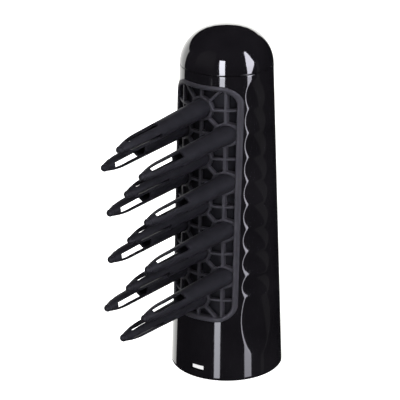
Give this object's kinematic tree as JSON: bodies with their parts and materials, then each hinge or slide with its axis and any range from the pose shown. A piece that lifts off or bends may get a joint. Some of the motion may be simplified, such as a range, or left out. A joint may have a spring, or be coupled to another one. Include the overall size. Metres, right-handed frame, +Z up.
{
  "type": "hair dryer diffuser attachment",
  "caption": "Slip-on hair dryer diffuser: glossy tapered tube with a domed end, scalloped grip sides and a front lattice panel of long hollow air fingers",
  "frame": {"origin": "centre of the open lower rim, on the tube's axis, which is the mouth of the socket", "axes": "+Z up the tube to the dome; the fingers point along -Y; +X is the part's left-to-right"},
  "size_m": [0.054, 0.1142, 0.1682],
  "materials": {
    "gloss_black": "high gloss moulded plastic",
    "matt_grey": "satin moulded plastic",
    "matt_charcoal": "fine matt moulded plastic",
    "inner_black": "plain heat-resistant plastic",
    "silicone": "soft silicone",
    "steel": "zinc-plated screw"
  },
  "bodies": {
    "root": {"housing_shell": "gloss_black", "dome_cap": "gloss_black", "grille_panel": "matt_grey", "clamp_plate": "inner_black", "coupling_sleeve": "inner_black", "sleeve_seal": "silicone", "clamp_screws": "steel", "finger_c1": "matt_charcoal", "finger_c2": "matt_charcoal", "finger_c3": "matt_charcoal", "finger_c4": "matt_charcoal", "finger_c5": "matt_charcoal", "finger_l1": "matt_charcoal", "finger_l2": "matt_charcoal", "finger_l3": "matt_charcoal", "finger_l4": "matt_charcoal", "finger_r1": "matt_charcoal", "finger_r2": "matt_charcoal", "finger_r3": "matt_charcoal", "finger_r4": "matt_charcoal"}
  },
  "joints": []
}
